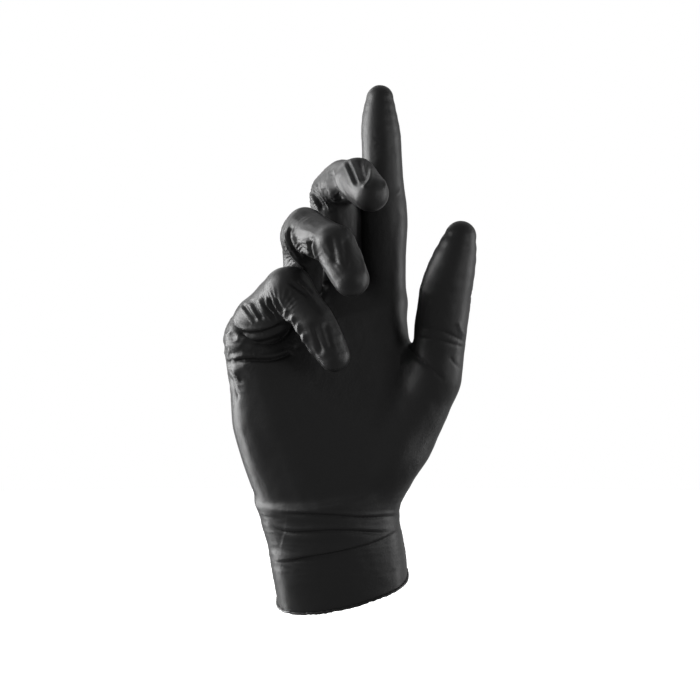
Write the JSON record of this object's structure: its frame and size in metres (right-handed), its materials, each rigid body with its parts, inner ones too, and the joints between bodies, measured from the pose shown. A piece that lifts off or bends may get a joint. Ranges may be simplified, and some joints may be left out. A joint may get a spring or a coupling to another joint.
{
  "type": "disposable glove",
  "caption": "Thin dipped nitrile glove for a right hand, in its worn shape: index finger and thumb up, the other fingers curled, short cuff with a rolled bead. Every finger joint bends.",
  "frame": {"origin": "centre of the cuff opening, in the plane of the rolled bead", "axes": "+Z from the cuff to the fingertips, -Y out of the palm side, +X towards the thumb"},
  "size_m": [0.1084, 0.0949, 0.2306],
  "materials": {
    "film": "satin",
    "folds": "satin",
    "bead": "satin"
  },
  "bodies": {
    "cuff": {"cuff": "film", "cuff_bead": "bead"},
    "palm": {"palm": "film", "back_of_hand": "film", "wrist_film": "folds", "index_knuckle_film": "folds", "middle_knuckle_film": "folds", "ring_knuckle_film": "folds", "little_knuckle_film": "folds", "thumb_web_film": "folds"},
    "thumb_base": {"thumb_base": "film", "thumb_knuckle_film": "folds"},
    "thumb_proximal": {"thumb_proximal": "film", "thumb_endjoint_film": "folds"},
    "thumb_tip": {"thumb_tip": "film"},
    "index_proximal": {"index_proximal": "film", "index_midjoint_film": "folds"},
    "index_middle": {"index_middle": "film", "index_endjoint_film": "folds"},
    "index_tip": {"index_tip": "film"},
    "middle_proximal": {"middle_proximal": "film", "middle_midjoint_film": "folds"},
    "middle_middle": {"middle_middle": "film", "middle_endjoint_film": "folds"},
    "middle_tip": {"middle_tip": "film"},
    "ring_proximal": {"ring_proximal": "film", "ring_midjoint_film": "folds"},
    "ring_middle": {"ring_middle": "film", "ring_endjoint_film": "folds"},
    "ring_tip": {"ring_tip": "film"},
    "little_proximal": {"little_proximal": "film", "little_midjoint_film": "folds"},
    "little_middle": {"little_middle": "film", "little_endjoint_film": "folds"},
    "little_tip": {"little_tip": "film"}
  },
  "joints": [
    {"name": "wrist", "type": "hinge", "parent": "cuff", "child": "palm", "pos_m": [-0.00482, -0.00872, 0.03041], "axis": [0.9886, -0.0415, 0.1447], "range_deg": [-30, 30], "deforming": ["wrist_film"]},
    {"name": "thumb_root", "type": "hinge", "parent": "palm", "child": "thumb_base", "pos_m": [0.023, -0.017, 0.058], "axis": [0, 1, 0], "range_deg": [-6, 20], "deforming": ["thumb_web_film"]},
    {"name": "thumb_knuckle", "type": "hinge", "parent": "thumb_base", "child": "thumb_proximal", "pos_m": [0.0406, -0.02, 0.0959], "axis": [0.3523, -0.9058, -0.2353], "range_deg": [-15, 14], "deforming": ["thumb_knuckle_film"]},
    {"name": "thumb_endjoint", "type": "hinge", "parent": "thumb_proximal", "child": "thumb_tip", "pos_m": [0.04451, -0.02756, 0.13088], "axis": [0.3523, -0.9058, -0.2353], "range_deg": [-3, 70], "deforming": ["thumb_endjoint_film"]},
    {"name": "index_knuckle", "type": "hinge", "parent": "palm", "child": "index_proximal", "pos_m": [0.0184, -0.005, 0.1296], "axis": [0.9778, 0.2075, 0.0292], "range_deg": [-10, 14], "deforming": ["index_knuckle_film"]},
    {"name": "index_midjoint", "type": "hinge", "parent": "index_proximal", "child": "index_middle", "pos_m": [0.01745, -0.00645, 0.17156], "axis": [0.9778, 0.2075, 0.0292], "range_deg": [0, 55], "deforming": ["index_midjoint_film"]},
    {"name": "index_endjoint", "type": "hinge", "parent": "index_middle", "child": "index_tip", "pos_m": [0.01698, -0.00774, 0.19653], "axis": [0.9778, 0.2075, 0.0292], "range_deg": [0, 45], "deforming": ["index_endjoint_film"]},
    {"name": "middle_knuckle", "type": "hinge", "parent": "palm", "child": "middle_proximal", "pos_m": [-0.0016, -0.006, 0.1332], "axis": [0.9346, 0.3397, 0.1053], "range_deg": [-15, 16], "deforming": ["middle_knuckle_film"]},
    {"name": "middle_midjoint", "type": "hinge", "parent": "middle_proximal", "child": "middle_middle", "pos_m": [-0.00389, -0.01397, 0.17926], "axis": [0.9346, 0.3397, 0.1053], "range_deg": [-80, 10], "deforming": ["middle_midjoint_film"]},
    {"name": "middle_endjoint", "type": "hinge", "parent": "middle_middle", "child": "middle_tip", "pos_m": [0.00569, -0.04028, 0.17914], "axis": [0.9346, 0.3397, 0.1053], "range_deg": [-23, 22], "deforming": ["middle_endjoint_film"]},
    {"name": "ring_knuckle", "type": "hinge", "parent": "palm", "child": "ring_proximal", "pos_m": [-0.0188, -0.011, 0.1264], "axis": [0.8541, 0.4175, 0.3101], "range_deg": [-35, 10], "deforming": ["ring_knuckle_film"]},
    {"name": "ring_midjoint", "type": "hinge", "parent": "ring_proximal", "child": "ring_middle", "pos_m": [-0.01673, -0.03866, 0.15794], "axis": [0.8541, 0.4175, 0.3101], "range_deg": [-68, 8], "deforming": ["ring_midjoint_film"]},
    {"name": "ring_endjoint", "type": "hinge", "parent": "ring_middle", "child": "ring_tip", "pos_m": [-0.00364, -0.05981, 0.15036], "axis": [0.8541, 0.4175, 0.3101], "range_deg": [-40, 22], "deforming": ["ring_endjoint_film"]},
    {"name": "little_knuckle", "type": "hinge", "parent": "palm", "child": "little_proximal", "pos_m": [-0.0374, -0.019, 0.1122], "axis": [0.6667, 0.6898, 0.2823], "range_deg": [-35, 10], "deforming": ["little_knuckle_film"]},
    {"name": "little_midjoint", "type": "hinge", "parent": "little_proximal", "child": "little_middle", "pos_m": [-0.02293, -0.04155, 0.13313], "axis": [0.6667, 0.6898, 0.2823], "range_deg": [-68, 8], "deforming": ["little_midjoint_film"]},
    {"name": "little_endjoint", "type": "hinge", "parent": "little_middle", "child": "little_tip", "pos_m": [-0.01174, -0.0464, 0.11856], "axis": [0.6667, 0.6898, 0.2823], "range_deg": [-10, 12], "deforming": ["little_endjoint_film"]}
  ],
  "couplings": [
    {"joint": "little_knuckle", "follows": "ring_knuckle", "ratio": 1},
    {"joint": "little_midjoint", "follows": "ring_midjoint", "ratio": 1}
  ]
}
